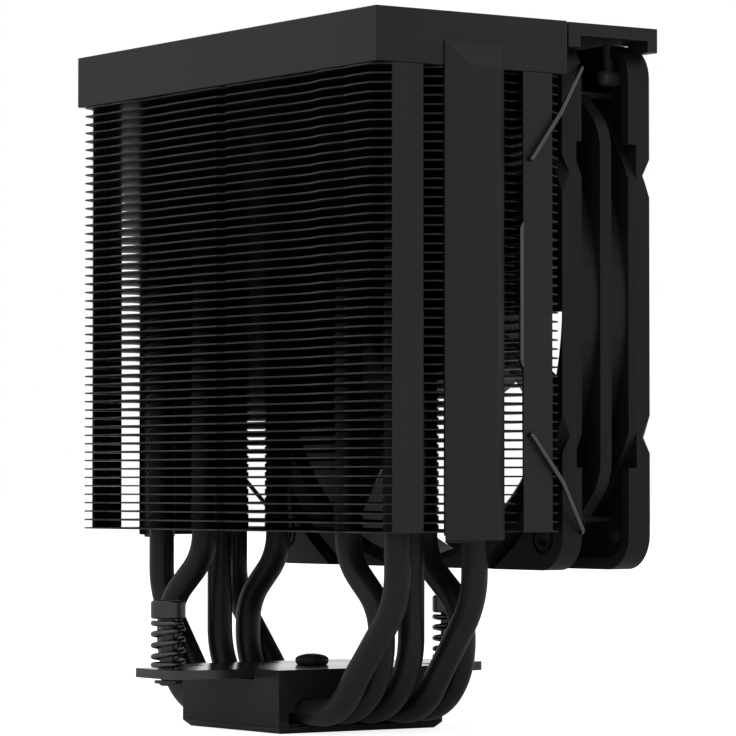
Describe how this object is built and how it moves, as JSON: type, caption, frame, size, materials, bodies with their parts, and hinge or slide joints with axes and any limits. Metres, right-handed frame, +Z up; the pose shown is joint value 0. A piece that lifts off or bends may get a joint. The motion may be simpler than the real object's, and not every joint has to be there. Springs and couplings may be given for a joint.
{
  "type": "cpu tower cooler",
  "caption": "Black tower heat sink with folded fins on U-shaped heat pipes, a spring-screw mounting bar and a square fan held by wire clips.",
  "frame": {"origin": "centre of the base's flat contact face", "axes": "+Z is up along the tower, X runs across its width, and the fan stands on the -Y side and blows towards +Y"},
  "size_m": [0.1362, 0.0959, 0.16],
  "materials": {
    "black_coat": "satin black powder coat on sheet aluminium",
    "black_fins": "thin matt black coat on aluminium fins",
    "black_nickel_pipe": "satin black plating on copper pipe",
    "black_nickel": "satin black plated base",
    "dark_steel": "polished black-nickel plated steel",
    "fan_plastic": "matt black moulded plastic",
    "soft_rubber": "matt black rubber",
    "motor_steel": "plain steel",
    "magnet": "bonded magnet",
    "bronze": "sintered bronze",
    "board": "circuit board",
    "copper": "enamelled copper winding",
    "clip_wire": "dark spring wire"
  },
  "bodies": {
    "tower": {"bar_screw": "dark_steel", "base_block": "black_nickel", "bearing_sleeve": "bronze", "cable_plug": "fan_plastic", "circuit_board": "board", "cold_plate": "black_nickel", "fan_cable": "soft_rubber", "fan_cap": "fan_plastic", "fan_frame": "fan_plastic", "fan_plug_left": "soft_rubber", "fan_plug_right": "soft_rubber", "fin_stack": "black_fins", "heatpipe_1": "black_nickel_pipe", "heatpipe_2": "black_nickel_pipe", "heatpipe_3": "black_nickel_pipe", "heatpipe_4": "black_nickel_pipe", "heatpipe_5": "black_nickel_pipe", "mounting_bar": "dark_steel", "screw_spring_front": "dark_steel", "screw_spring_rear": "dark_steel", "side_bar_left": "black_coat", "side_bar_right": "black_coat", "stator_coil_1": "copper", "stator_coil_2": "copper", "stator_coil_3": "copper", "stator_coil_4": "copper", "stator_core": "motor_steel", "top_cover": "black_coat"},
    "rotor": {"fan_rotor": "fan_plastic", "rotor_yoke": "motor_steel", "magnet_ring": "magnet", "rotor_shaft": "motor_steel", "shaft_ring": "motor_steel"},
    "clip_left": {"wire_clip_left": "clip_wire"},
    "clip_right": {"wire_clip_right": "clip_wire"},
    "screw_slide_front": {"screw_ring_front": "dark_steel"},
    "screw_front": {"spring_screw_front": "dark_steel"},
    "screw_slide_rear": {"screw_ring_rear": "dark_steel"},
    "screw_rear": {"spring_screw_rear": "dark_steel"}
  },
  "joints": [
    {"name": "fan_spin", "type": "hinge", "parent": "tower", "child": "rotor", "pos_m": [0, -0.04, 0.0968], "axis": [0, 1, 0], "continuous": true},
    {"name": "clip_left_swing", "type": "hinge", "parent": "tower", "child": "clip_left", "pos_m": [-0.0525, -0.032, 0.0968], "axis": [0, 0, 1], "range_deg": [0, 60]},
    {"name": "clip_right_swing", "type": "hinge", "parent": "tower", "child": "clip_right", "pos_m": [0.0525, -0.032, 0.0968], "axis": [0, 0, -1], "range_deg": [0, 60]},
    {"name": "screw_front_press", "type": "slide", "parent": "tower", "child": "screw_slide_front", "axis": [0, 0, -1], "range_m": [0, 0.0045], "deforming": ["screw_spring_front"]},
    {"name": "screw_front_turn", "type": "hinge", "parent": "screw_slide_front", "child": "screw_front", "pos_m": [0, -0.0392, 0.02], "axis": [0, 0, 1], "continuous": true},
    {"name": "screw_rear_press", "type": "slide", "parent": "tower", "child": "screw_slide_rear", "axis": [0, 0, -1], "range_m": [0, 0.0045], "deforming": ["screw_spring_rear"]},
    {"name": "screw_rear_turn", "type": "hinge", "parent": "screw_slide_rear", "child": "screw_rear", "pos_m": [0, 0.0392, 0.02], "axis": [0, 0, 1], "continuous": true}
  ]
}
